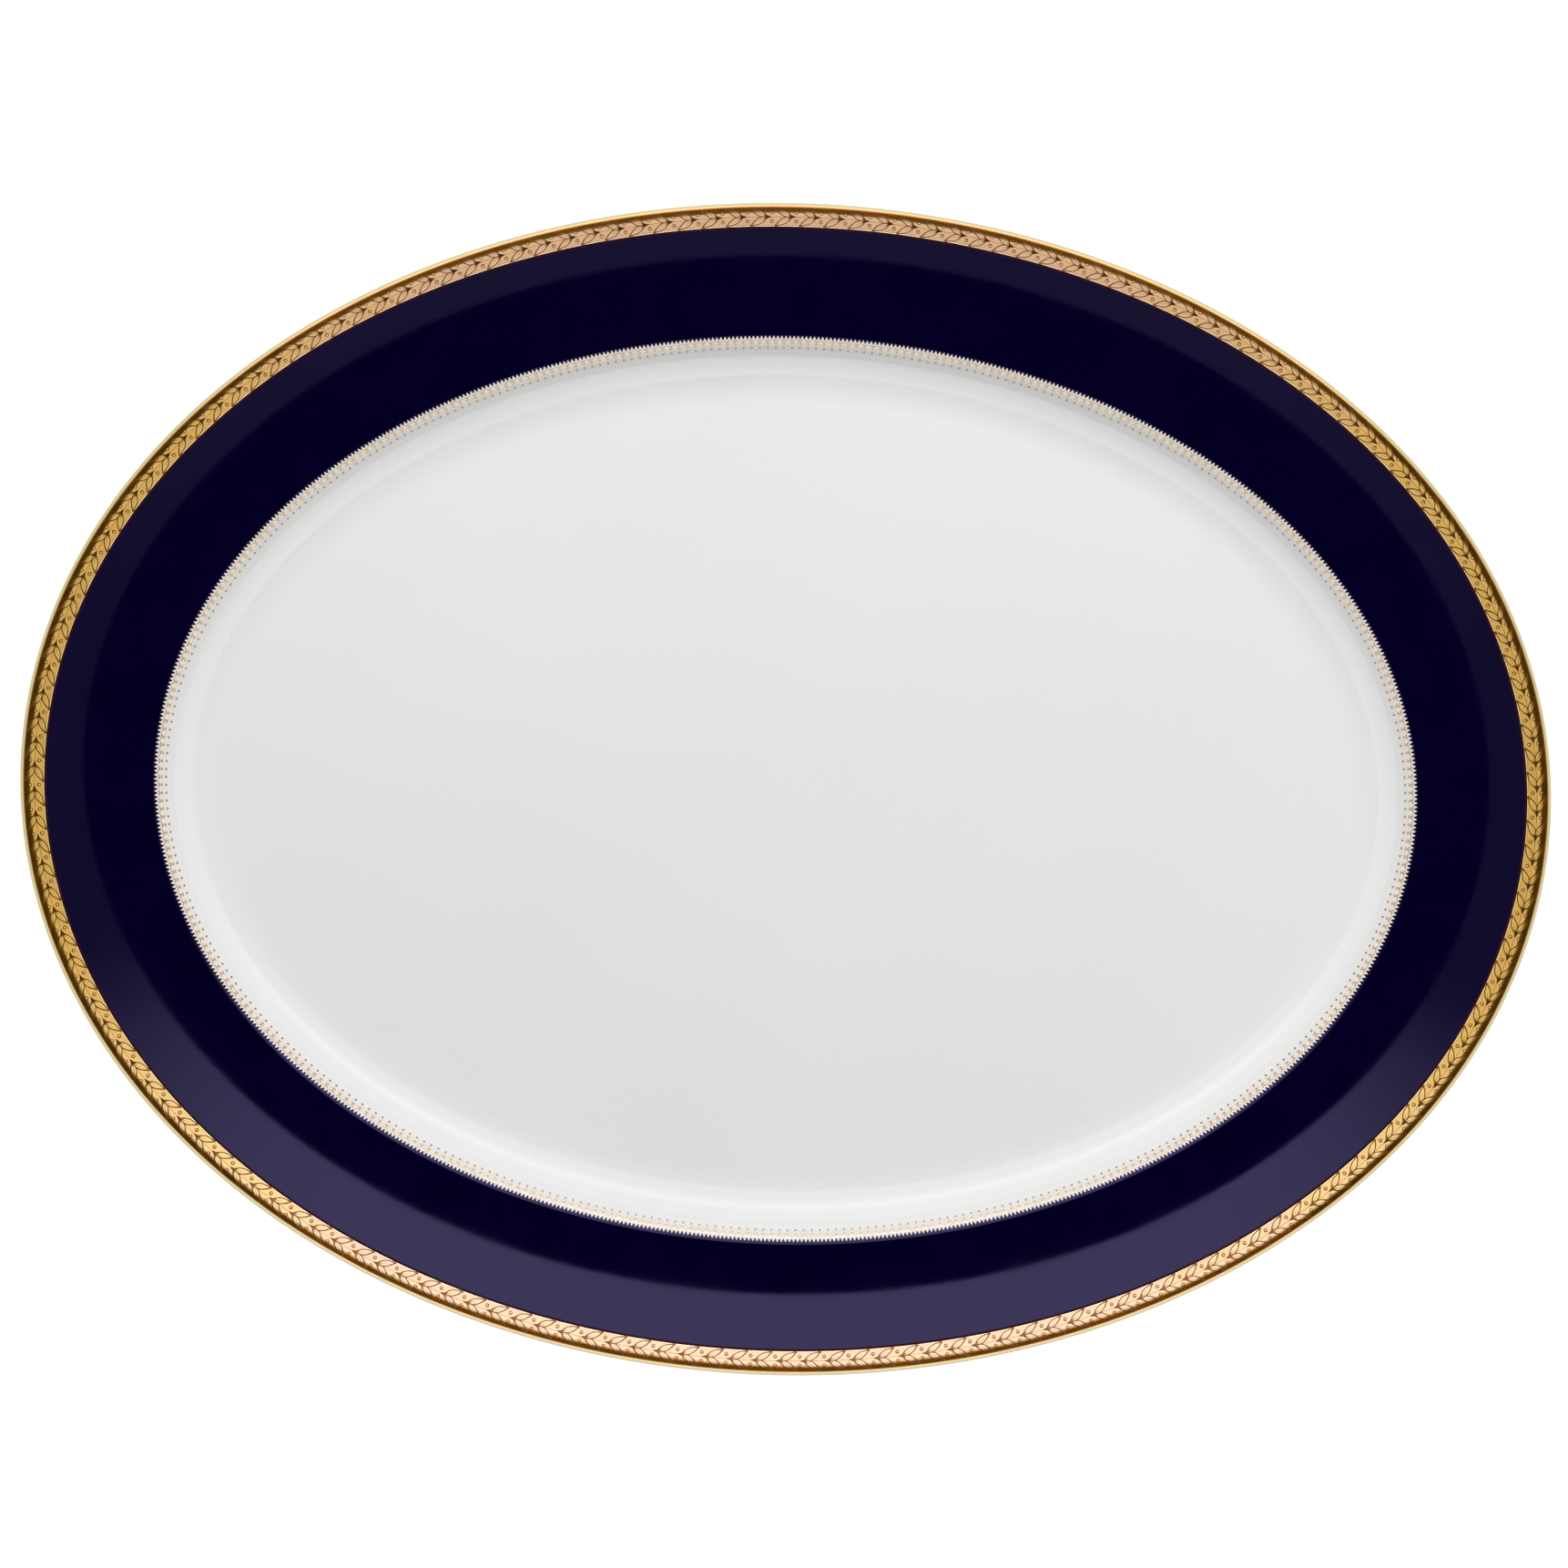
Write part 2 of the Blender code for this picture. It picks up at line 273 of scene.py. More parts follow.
def body_section():
    """The glazed body from the floor's edge over the lip to the foot, open at the glaze line."""
    stretches = [
        (FLOOR_EDGE, WALL_START, 26),
        (WALL_START, VERGE_START, 12),
        (VERGE_START, RIM_START, 17),
        (RIM_START, LIP_RADIUS, 5),
    ]
    top = [above_top(FLOOR_EDGE, 0.0)]
    for outer, inner, count in stretches:
        top += [above_top(d, 0.0) for d in np.linspace(outer, inner, count + 1)[1:]]
    lip = [round_lip(a) for a in np.linspace(0.0, math.pi - RIM_ANGLE_AT_LIP, 15)[1:]]
    outer_side = foot_corners()[:2]
    share = 1 - GLAZE_LINE / outer_side[0][1]
    glaze_end = tuple(np.array(outer_side[0]) + share * (np.subtract(*outer_side[::-1])))
    under = underside_section()
    joined = rounded([under[-2], outer_side[0], glaze_end], 0.0009)
    return top + lip + under[:-1] + joined[1:]


def recess_section():
    """The glazed recess inside the foot, from the glaze line on the ring's inner side."""
    bottom, top = foot_corners()[2:]
    share = GLAZE_LINE / top[1]
    start = tuple(np.array(bottom) + share * np.subtract(top, bottom))
    return rounded([start, top, (RECESS_EDGE, RECESS_TOP)], 0.0012)


def dry_ring_section():
    """The unglazed face of the foot, from glaze line to glaze line."""
    outer_top, outer_face, inner_face, inner_top = foot_corners()
    share = 1 - GLAZE_LINE / outer_top[1]
    start = tuple(np.array(outer_top) + share * np.subtract(outer_face, outer_top))
    share = GLAZE_LINE / inner_top[1]
    end = tuple(np.array(inner_face) + share * np.subtract(inner_top, inner_face))
    return rounded([start, outer_face, inner_face, end], FOOT_ROUNDING, 6)


# ---- Round the oval


def turns_spaced_evenly(depth, along):
    """The turn about the centre of points this far along the ellipse at a depth, in metres."""
    fine = np.linspace(0, 2 * math.pi, 20001)
    x, y = (HALF_LENGTH - depth) * np.cos(fine), (HALF_WIDTH - depth) * np.sin(fine)
    travelled = np.concatenate([[0], np.cumsum(np.hypot(np.diff(x), np.diff(y)))])
    return np.interp(np.mod(along, travelled[-1]), travelled, fine)


def length_round(depth):
    """The length of the ellipse at a depth."""
    a, b = HALF_LENGTH - depth, HALF_WIDTH - depth
    h = ((a - b) / (a + b)) ** 2
    return math.pi * (a + b) * (1 + 3 * h / (10 + math.sqrt(4 - 3 * h)))


def depth_of(x, y, guess):
    """The depth whose ellipse passes through each point."""
    depth = guess
    for _ in range(4):
        a, b = HALF_LENGTH - depth, HALF_WIDTH - depth
        miss = (x / a) ** 2 + (y / b) ** 2 - 1
        depth = depth - miss / (2 * x * x / a**3 + 2 * y * y / b**3)
    return depth


def laid_on(base_depth, strip):
    """Lays points of a straight strip on the top surface. Columns of strip are how far along the
    ellipse at base_depth, counter-clockwise, how far across it, inwards, and how far off it."""
    along, across, lift = strip.T
    turn = turns_spaced_evenly(base_depth, along)
    a, b = HALF_LENGTH - base_depth, HALF_WIDTH - base_depth
    outward_x, outward_y = np.cos(turn) / a, np.sin(turn) / b
    size = np.hypot(outward_x, outward_y)
    outward_x, outward_y = outward_x / size, outward_y / size
    x, y = a * np.cos(turn) - across * outward_x, b * np.sin(turn) - across * outward_y
    depth = depth_of(x, y, base_depth + across)
    angle = slope_angle(depth)
    x, y = x - lift * np.sin(angle) * outward_x, y - lift * np.sin(angle) * outward_y
    return np.column_stack([x, y, top_height(depth) + lift * np.cos(angle)])


# ---- Mesh building


def piece_from(name, points, faces, material):
    """One shown piece of the platter, which rides on the frame's only body."""
    mesh = bpy.data.meshes.new(name)
    mesh.from_pydata([tuple(p) for p in points], [], faces)
    mesh.validate()
    mesh.update()
    mesh.shade_smooth()
    mesh.set_sharp_from_angle(angle=math.radians(50))
    mesh.materials.append(material)
    piece = bpy.data.objects.new(name, mesh)
    bpy.context.scene.collection.objects.link(piece)
    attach(piece, "root")
    return piece


def ring_points(section):
    """The points of a cross-section at every station round the oval, ring by ring."""
    turn = np.linspace(0, 2 * math.pi, STATIONS, endpoint=False)
    rings = []
    for depth, height in section:
        x, y = (HALF_LENGTH - depth) * np.cos(turn), (HALF_WIDTH - depth) * np.sin(turn)
        rings.append(np.column_stack([x, y, np.full(STATIONS, height)]))
    return np.concatenate(rings)


def ring_faces(rings, closed, stations=STATIONS):
    """Quads between each ring and the next. A closed section's last ring meets its first."""
    faces = []
    for ring in range(rings if closed else rings - 1):
        here, there = ring * stations, (ring + 1) % rings * stations
        for i in range(stations):
            j = (i + 1) % stations
            faces.append((here + i, there + i, there + j, here + j))
    return faces


def swept_ring(name, section, material):
    """A closed ring whose cross-section is a closed outline, swept round the oval."""
    points = ring_points(section)
    return piece_from(name, points, ring_faces(len(section), True), material)


def shrinking_rings(edge, height, count, dish):
    """Ever smaller ovals that fill a flat of the body, with its slight crown or sag."""
    rings = []
    turn = np.linspace(0, 2 * math.pi, STATIONS, endpoint=False)
    a, b = HALF_LENGTH - edge, HALF_WIDTH - edge
    for share in np.linspace(1, 0, count + 1)[1:-1]:
        level = height + dish * (1 - share * share) ** 2
        x, y = a * share * np.cos(turn), b * share * np.sin(turn)
        rings.append(np.column_stack([x, y, np.full(STATIONS, level)]))
    return rings


def filled_sweep(section, edge, height, count, dish, inwards):
    """Points and faces of a swept section that is filled to the centre, from its last ring if it
    runs inwards and from its first if it runs outwards."""
    rings = [ring_points([p]) for p in section]
    centre = shrinking_rings(edge, height, count, dish)
    rings = rings + centre if inwards else centre[::-1] + rings
    points = np.concatenate(rings + [np.array([[0, 0, height + dish]])])
    faces = ring_faces(len(rings), False)
    centre_point = len(points) - 1
    start = (len(rings) - 1) * STATIONS if inwards else 0
    for i in range(STATIONS):
        pair = (start + i, start + (i + 1) % STATIONS)
        faces.append((centre_point, *pair[::-1]) if inwards else (centre_point, *pair))
    return points, faces


# ---- Small ornament, built in the flat strip and then laid on the surface


class Strip:
    """Points and faces of one repeat of an ornament, in strip coordinates. A lift is how far its
    top stands proud of the fired layer that it is on."""

    def __init__(self):
        self.points, self.faces = [], []

    def bar(self, path, half_widths, lifts, closed=False):
        """A ridged bar along a path, with one half width and lift or one for each point. If it is
        closed, its last point meets its first."""
        path = np.array(path, float)
        if closed:
            ahead, behind = np.roll(path, -1, 0), np.roll(path, 1, 0)
        else:
            ahead = np.vstack([path[1:], 2 * path[-1] - path[-2]])
            behind = np.vstack([2 * path[0] - path[1], path[:-1]])
        run = ahead - behind
        run /= np.linalg.norm(run, axis=1)[:, None]
        side = np.column_stack([-run[:, 1], run[:, 0]])
        half_widths = np.broadcast_to(half_widths, len(path))
        heights = np.broadcast_to(LAYER_TOP + lifts - ORNAMENT_SEAT, len(path))
        first, n, count = len(self.points), len(BAR_PROFILE), len(path)
        for point, out, half, height in zip(path, side, half_widths, heights):
            for u, v in BAR_PROFILE:
                place = point + out * u * half
                self.points.append((place[0], place[1], ORNAMENT_SEAT + v * height))
        for k in range(count if closed else count - 1):
            here, there = first + k * n, first + (k + 1) % count * n
            for i in range(n):
                j = (i + 1) % n
                self.faces.append((here + i, here + j, there + j, there + i))
        if not closed:
            self.faces.append(tuple(first + i for i in range(n))[::-1])
            self.faces.append(tuple(first + (count - 1) * n + i for i in range(n)))

    def dome(self, centre, half_along, half_across, lift, sides=12):
        """A low closed dome."""
        first, top = len(self.points), LAYER_TOP + lift
        for share, level in ((1.0, 0.0), (1.0, 0.6), (0.8, 0.88), (0.4, 0.98)):
            for i in range(sides):
                turn = 2 * math.pi * i / sides
                along = centre[0] + half_along * share * math.cos(turn)
                across = centre[1] + half_across * share * math.sin(turn)
                height = ORNAMENT_SEAT + level * (top - ORNAMENT_SEAT)
                self.points.append((along, across, height))
        self.points.append((centre[0], centre[1], top))
        for ring in range(3):
            for i in range(sides):
                j = (i + 1) % sides
                a, b = first + ring * sides, first + (ring + 1) * sides
                self.faces.append((a + j, a + i, b + i, b + j))
        crown = first + 3 * sides
        for i in range(sides):
            self.faces.append((crown + (i + 1) % sides, crown + i, first + 4 * sides))
        self.faces.append(tuple(first + i for i in range(sides)))

    def plate(self, outline, lift):
        """A flat closed plate with this outline."""
        first, n = len(self.points), len(outline)
        for level in (ORNAMENT_SEAT, LAYER_TOP + lift):
            self.points += [(along, across, level) for along, across in outline]
        for i in range(n):
            j = (i + 1) % n
            self.faces.append((first + i, first + n + i, first + n + j, first + j))
        self.faces.append(tuple(first + i for i in range(n)))
        self.faces.append(tuple(first + n + i for i in range(n))[::-1])

    def laid_round(self, name, base_depth, repeats, material, slot):
        """The whole border: the repeat laid round the oval as often as it goes."""
        period = length_round(base_depth) / repeats
        one = np.array(self.points)
        shifts = np.arange(repeats)[:, None, None] * np.array([period, 0, 0])
        points = laid_on(base_depth, (one[None] + shifts).reshape(-1, 3))
        faces = []
        for first in range(0, repeats * len(one), len(one)):
            faces += [tuple(i + first for i in face) for face in self.faces]
        return piece_from(name, points, faces, material)


def leaf_axis(side, count):
    """The centre line of a leaf that springs from its node at the origin towards one side."""
    return eased(
        (0.03 * LEAF_REACH, 0.04 * side * LEAF_SPREAD),
        (0.50 * LEAF_REACH, 0.44 * side * LEAF_SPREAD),
        (LEAF_REACH, side * LEAF_SPREAD),
        count,
    )


def leaf_half_widths(count):
    """Half widths from base to tip: a pointed oval, fullest a little before its middle."""
    t = np.linspace(0, 1, count + 1)
    return LEAF_HALF_WIDTH * np.sin(math.pi * t**0.85) ** 0.85 + 0.00003


def leaf_sides(side):
    """The two edges of a leaf, each from base to tip."""
    count = 11
    axis = np.array(leaf_axis(side, count))
    run = np.gradient(axis, axis=0)
    run /= np.linalg.norm(run, axis=1)[:, None]
    out = np.column_stack([-run[:, 1], run[:, 0]])
    half = leaf_half_widths(count)[:, None]
    return axis + out * half, axis - out * half


def ring_path(centre, radius):
    """Points round a small circle."""
    turn = np.linspace(0, 2 * math.pi, 10, endpoint=False)
    return np.column_stack([centre[0] + radius * np.cos(turn), centre[1] + radius * np.sin(turn)])


# ---- Materials

# Where the gold's painted highlights lie: rosier and paler along the long sides, and paler still
# towards -Y, where the gold mirrors brighter light
SIDE_HIGHLIGHT_REACH = (0.085, 0.150)  # distances from the long axis where the long sides begin and are full
# where the painted highlight on the near side begins and is full
NEAR_HIGHLIGHT_REACH = (-0.085, -0.116)


def add_node(tree, kind, inputs=None, **settings):
    """A node with its settings made and its inputs linked or given."""
    node = tree.nodes.new(kind)
    for name, value in settings.items():
        setattr(node, name, value)
    for name, value in (inputs or {}).items():
        if isinstance(value, bpy.types.NodeSocket):
            tree.links.new(value, node.inputs[name])
        else:
            node.inputs[name].default_value = value
    return node


class Look:
    """A node material on a Principled shader, with short ways to add the nodes it needs."""

    def __init__(self, name, **values):
        self.material = bpy.data.materials.new(name)
        self.material.use_nodes = True
        self.tree = self.material.node_tree
        self.shader = self.tree.nodes["Principled BSDF"]
        self.place = self.add("ShaderNodeTexCoord").outputs["Object"]
        for socket, value in values.items():
            self.shader.inputs[socket.replace("_", " ")].default_value = value

    def add(self, kind, inputs=None, **settings):
        return add_node(self.tree, kind, inputs, **settings)

    def noise(self, size, detail=2.0, roughness=0.5):
        """Soft noise whose features are about this many metres across."""
        wanted = {"Vector": self.place, "Scale": 1 / size, "Detail": detail, "Roughness": roughness}
        return self.add("ShaderNodeTexNoise", wanted).outputs["Fac"]

    def between(self, factor, low, high):
        """Colours or numbers from low to high as the factor goes from 0.3 to 0.7."""
        if isinstance(low, tuple):
            ramp = self.add("ShaderNodeValToRGB", {"Fac": factor})
            for stop, place, colour in zip(ramp.color_ramp.elements, (0.3, 0.7), (low, high)):
                stop.position, stop.color = place, (*colour, 1.0)
            return ramp.outputs["Color"]
        wanted = {"Value": factor, "From Min": 0.3, "From Max": 0.7, "To Min": low, "To Max": high}
        return self.add("ShaderNodeMapRange", wanted).outputs["Result"]

    def axis(self, name):
        """A socket for where a point of the surface lies along X, Y or Z, in metres."""
        return self.add("ShaderNodeSeparateXYZ", {"Vector": self.place}).outputs[name]

    def share_between(self, value, low, high):
        """0 where the value is at low and 1 where it is at high."""
        reach = {"Value": value, "From Min": low, "From Max": high}
        return self.add("ShaderNodeMapRange", reach).outputs["Result"]

    def side_highlight(self):
        """0 round the platter's ends and 1 along its long sides, with a slow drift: where the
        gold's painted highlight is laid on.
        """
        off_centre = self.add("ShaderNodeMath", {0: self.axis("Y")}, operation="ABSOLUTE")
        side = self.share_between(off_centre.outputs[0], *SIDE_HIGHLIGHT_REACH)
        drift = self.add("ShaderNodeMath", {0: self.noise(0.03, 3), 1: -0.5}, operation="ADD")
        total = self.add("ShaderNodeMath", {0: side, 1: drift.outputs[0]}, operation="ADD")
        return total.outputs[0]

    def near_highlight(self):
        """1 along the long side towards -Y and 0 elsewhere: where a painted highlight is laid on.
        """
        return self.share_between(self.axis("Y"), *NEAR_HIGHLIGHT_REACH)

    def mixed(self, share, one, other):
        """One colour where the share is 0 and the other where it is 1."""
        one, other = ((*c, 1.0) if isinstance(c, tuple) else c for c in (one, other))
        mix = self.add("ShaderNodeMix", {0: share, 6: one, 7: other}, data_type="RGBA")
        return mix.outputs[2]

    def colour(self, socket):
        self.tree.links.new(socket, self.shader.inputs["Base Color"])

    def rough(self, factor, low, high):
        self.tree.links.new(self.between(factor, low, high), self.shader.inputs["Roughness"])

    def bump(self, *layers):
        """Bumps, each a (height socket, depth in metres), from the coarsest to the finest."""
        normal = None
        for height, depth in layers:
            wanted = {"Height": height, "Distance": depth, "Strength": 1.0}
            if normal:
                wanted["Normal"] = normal
            normal = self.add("ShaderNodeBump", wanted).outputs["Normal"]
        self.tree.links.new(normal, self.shader.inputs["Normal"])


def white_china():
    """Clear glaze over a white body, with the slow waviness of a fired surface."""
    look = Look("glazed_white_china", IOR=1.5)
    look.colour(look.between(look.noise(0.09, 3), (0.800, 0.794, 0.796), (0.815, 0.812, 0.806)))
    look.rough(look.noise(0.02), 0.05, 0.09)
    look.bump((look.noise(0.03, 1), 0.00002), (look.noise(0.0022, 1), 0.0000015))
    return look.material


def dry_china():
    """Bare clay, ground smooth and a little stained."""
    look = Look("dry_china", IOR=1.5)
    look.colour(look.between(look.noise(0.006, 4), (0.66, 0.63, 0.57), (0.80, 0.78, 0.73)))
    look.rough(look.noise(0.002), 0.65, 0.9)
    look.bump((look.noise(0.0012, 3), 0.00003), (look.noise(0.0003, 2), 0.00001))
    return look.material


def cobalt_glaze():
    """Dark blue glaze, whose reflections are tinted violet by the blue under it."""
    look = Look("cobalt_glaze", IOR=1.745, Specular_Tint=(0.54, 0.47, 1.0, 1.0))
    blues = (0.0011, 0.0001, 0.0150), (0.0019, 0.0003, 0.0185)
    look.colour(look.between(look.noise(0.012, 4), *blues))
    look.rough(look.noise(0.015), 0.05, 0.08)
    look.bump((look.noise(0.025, 1), 0.000012), (look.noise(0.002, 1), 0.0000012))
    return look.material


def dark_hairline():
    """The dark maroon line where the gold border ends over the cobalt."""
    look = Look("dark_hairline", IOR=1.2)
    look.colour(look.between(look.noise(0.002, 3), (0.014, 0.001, 0.004), (0.030, 0.004, 0.008)))
    look.rough(look.noise(0.003), 0.5, 0.7)
    look.bump((look.noise(0.0006, 2), 0.000006))
    return look.material


def gold(name, metallic, yellow, side_highlight_colour, roughness, grain):
    """Fired gold: yellow round the platter's ends, rosier on its long sides as a painted highlight,
    and browner up at the lip's crown as painted shade. The grain is its (size, depth)."""
    coat = {"Coat_Weight": 1.0, "Coat_IOR": 2.8, "Coat_Roughness": 0.12}
    look = Look(name, Metallic=metallic, IOR=1.5, **coat)
    # painted highlight: rosier and paler along the long sides
    plain = look.between(look.side_highlight(), yellow, side_highlight_colour)
    # painted shade: browner up at the lip's crown, where the gold mirrors the dark overhead
    crown = look.share_between(look.axis("Z"), HEIGHT - 0.00018, HEIGHT + 0.00001)
    look.colour(look.mixed(crown, plain, (0.42, 0.20, 0.03)))
    look.rough(look.noise(0.004, 3), *roughness)
    look.bump((look.noise(0.004, 2), 0.00001), (look.noise(grain[0], 2), grain[1]))
    return look.material


def engraving_shade():
    """The laurel's lines: gold coloured dark brown as painted shade of etched grooves, and lighter
    and rosier along the long sides as a painted highlight.
    """
    look = Look("engraving_shade", Metallic=1.0, Coat_Weight=0.05, Coat_IOR=2.4, Coat_Roughness=0.2)
    look.colour(look.between(look.side_highlight(), (0.24, 0.085, 0.003), (0.31, 0.130, 0.038)))
    look.rough(look.noise(0.002), 0.45, 0.6)
    look.bump((look.noise(0.0006, 2), 0.000006))
    return look.material


def deep_engraving_shade():
    """The laurel's nodes: near black as painted shade of the deepest etching, and lighter on the
    near side as a painted highlight.
    """
    look = Look("deep_engraving_shade", Metallic=1.0, Coat_Weight=0.05, Coat_IOR=2.4)
    deep_shade = look.between(look.noise(0.002, 3), (0.070, 0.024, 0.002), (0.13, 0.048, 0.004))
    look.colour(look.mixed(look.near_highlight(), deep_shade, (0.27, 0.11, 0.035)))
    look.rough(look.noise(0.001), 0.45, 0.65)
    look.bump((look.noise(0.0005, 2), 0.000006))
    return look.material


def lip_gold():
    """Burnished gold with painted light: paler below the crown as a painted highlight, and browner
    on the crown as painted shade, which a painted highlight makes redder along the long sides.
    """
    coat = {"Coat_Weight": 0.5, "Coat_IOR": 2.8, "Coat_Roughness": 0.12}
    look = Look("burnished_gold", Metallic=0.88, IOR=1.5, **coat)
    side = look.side_highlight()
    # painted highlight: pale and less yellow below the crown
    pale_lower_highlight = look.between(side, (0.40, 0.35, 0.12), (0.44, 0.38, 0.19))
    # painted shade: browner on the crown, with a painted highlight that makes it redder along the
    # long sides
    crown = look.between(side, (0.46, 0.18, 0.007), (0.90, 0.33, 0.022))
    high = look.share_between(look.axis("Z"), HEIGHT - 0.00020, HEIGHT - 0.00005)
    look.colour(look.mixed(high, pale_lower_highlight, crown))
    look.rough(look.noise(0.004, 3), 0.22, 0.30)
    look.bump((look.noise(0.004, 2), 0.00001), (look.noise(0.001, 2), 0.000003))
    return look.material


def white_enamel():
    """The edging's scallops, a little warmer than the china."""
    look = Look("white_enamel", IOR=1.5)
    look.colour(look.between(look.noise(0.0012, 3), (0.74, 0.64, 0.58), (0.85, 0.79, 0.75)))
    look.rough(look.noise(0.002), 0.12, 0.25)
    look.bump((look.noise(0.001, 2), 0.000006))
    return look.material


def gold_wash():
    """The warm tint that the printed gold leaves on the glaze, mottled and fading down the wall."""
    look = Look("gold_wash", IOR=1.5)
    whole, gone = (float(top_height(COBALT_INNER + share * WASH_WIDTH)) for share in (0.3, 0.9))
    tint = look.between(look.noise(0.0007, 3), (0.71, 0.60, 0.50), (0.86, 0.80, 0.74))
    fade = look.share_between(look.axis("Z"), whole, gone)
    look.colour(look.mixed(fade, tint, (0.81, 0.80, 0.79)))
    look.rough(look.noise(0.002), 0.08, 0.2)
    look.bump((look.noise(0.001, 2), 0.000004))
    return look.material


def printed_gold():
    """Thin matt gold, paler and whiter on the near side as a painted highlight."""
    look = Look("printed_gold", Metallic=1.0, Coat_Weight=1.0, Coat_IOR=2.1, Coat_Roughness=0.15)
    whole = look.between(look.noise(0.0012, 3), (0.19, 0.13, 0.035), (0.30, 0.21, 0.07))
    # painted highlight on the near side
    pale_near_highlight = look.between(look.noise(0.0012, 3), (0.44, 0.37, 0.27), (0.58, 0.50, 0.39))
    look.colour(look.mixed(look.near_highlight(), whole, pale_near_highlight))
    look.rough(look.noise(0.002), 0.25, 0.4)
    look.bump((look.noise(0.0004, 2), 0.000005))
    return look.material


# ---- The platter


def china_pieces(white, dry):
    """The glazed body in one mesh, and the dry face of its foot."""
    top, faces = filled_sweep(body_section(), FLOOR_EDGE, FLOOR_TOP, 16, -WELL_SAG, False)
    recess, more = filled_sweep(recess_section(), RECESS_EDGE, RECESS_TOP, 10, RECESS_RISE, True)
    faces += [tuple(i + len(top) for i in face) for face in more]
    points = np.concatenate([top, recess])
    body = piece_from("china_body_glazed", points, faces, white)
    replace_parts(body, "china_body")

    section = dry_ring_section()
    faces = ring_faces(len(section), False)
    ring = piece_from("dry_foot_ring_ground", ring_points(section), faces, dry)
    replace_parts(ring, "dry_foot_ring")


def layer_section(outer, inner, count, crown=0.0):
    """The closed section of a fired layer between two depths, crowned if it is a raised line."""
    depths = np.linspace(outer, inner, count + 1)
    share = np.linspace(0, math.pi, count + 1)
    upper = [above_top(d, LAYER_TOP + crown * math.sin(s)) for d, s in zip(depths, share)]
    return upper[::-1] + [above_top(d, -LAYER_SEAT) for d in depths]


def cobalt_piece(cobalt):
    """The dark blue band from the hairline over the rim and a little way round the verge."""
    depths = list(np.linspace(GOLD_INNER + HAIRLINE_WIDTH, VERGE_START, 34))
    depths += list(np.linspace(VERGE_START, COBALT_INNER, 9)[1:])
    upper = [above_top(d, LAYER_TOP) for d in depths]
    section = upper[::-1] + [above_top(d, -LAYER_SEAT) for d in depths]
    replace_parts(swept_ring("cobalt_glaze_band", section, cobalt), "cobalt_band")


def lip_piece(burnished):
    """The burnished gold that wraps the lip, from its shoulder over the crown to underneath."""
    angles = np.linspace(0, LIP_GILDING_UNDER_ANGLE, 16)
    depths = np.linspace(LIP_GILDING_INNER, LIP_RADIUS, 6)[:-1]
    outer = [above_top(d, LAYER_TOP) for d in depths]
    outer += [round_lip(a, LIP_RADIUS + LAYER_TOP) for a in angles]
    inner = [above_top(d, -LAYER_SEAT) for d in depths]
    inner += [round_lip(a, LIP_RADIUS - LAYER_SEAT) for a in angles]
    ring = swept_ring("lip_gold", outer + inner[::-1], burnished)
    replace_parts(ring, "lip_gilding")


def laurel_pieces(etched, leaf_gold, line, deep_shade):
    """The gold border: its matt ground, the plain line along it, and the laurel in relief."""
    section = layer_section(LIP_GILDING_INNER, GOLD_INNER - MARGIN_WIDTH, 10)
    ground = swept_ring("laurel_ground", section, etched)
    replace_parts(ground, "laurel_band")
    section = layer_section(GOLD_INNER - MARGIN_WIDTH, GOLD_INNER, 6, MARGIN_CROWN)
    swept_ring("gold_margin_line", section, leaf_gold)

    leaves, berries, lines, nodes = Strip(), Strip(), Strip(), Strip()
    for side in (-1, 1):
        count = 10
        axis = leaf_axis(side, count)
        swell = LEAF_SWELL * np.sin(np.linspace(0.12, math.pi - 0.12, count + 1))
        leaves.bar(axis, leaf_half_widths(count), LEAF_LIFT + swell)
        for edge in leaf_sides(side):
            lines.bar(edge, LINE_WIDTH / 2, EDGE_LIFT)
        lines.bar(leaf_axis(side, 7)[1:5], LINE_WIDTH / 6, VEIN_LIFT)
        lines.dome(axis[-1], LINE_WIDTH, LINE_WIDTH * 0.8, TIP_LIFT, 8)
        place = (BERRY_PLACE[0], side * BERRY_PLACE[1])
        berries.dome(place, BERRY_RADIUS * 0.6, BERRY_RADIUS * 0.6, BERRY_LIFT)
        berry_ring = ring_path(place, BERRY_RADIUS)
        lines.bar(berry_ring, LINE_WIDTH * 0.42, BERRY_RING_LIFT, closed=True)
    period = length_round(LAUREL_STEM) / LAUREL_REPEATS
    stem = [(0.0, 0.0), (0.5 * period, 0.0), (0.98 * period, 0.0)]
    lines.bar(stem, LINE_WIDTH / 8, STEM_LIFT)
    lines.bar(STROKE, LINE_WIDTH / 2, VEIN_LIFT)
    mirrored = [(along, -across) for along, across in reversed(NODE_FLANK)]
    nodes.plate([NODE_POINT, *NODE_FLANK, NODE_BACK, *mirrored], NODE_LIFT)

    leaves.laid_round("laurel_leaves", LAUREL_STEM, LAUREL_REPEATS, leaf_gold, "etched_gold")
    berries.laid_round("laurel_berries", LAUREL_STEM, LAUREL_REPEATS, leaf_gold, "etched_gold")
    # The engraving's dark brown lines are painted shade of etched grooves
    lines.laid_round("laurel_engraving", LAUREL_STEM, LAUREL_REPEATS, line, "etched_gold")
    # The nodes' near black is painted shade of the deepest etching
    nodes.laid_round("laurel_nodes", LAUREL_STEM, LAUREL_REPEATS, deep_shade, "etched_gold")


def hairline_piece(hairline):
    """The dark line between the gold border and the cobalt."""
    section = layer_section(GOLD_INNER, GOLD_INNER + HAIRLINE_WIDTH, 4)
    swept_ring("dark_hairline", section, hairline)


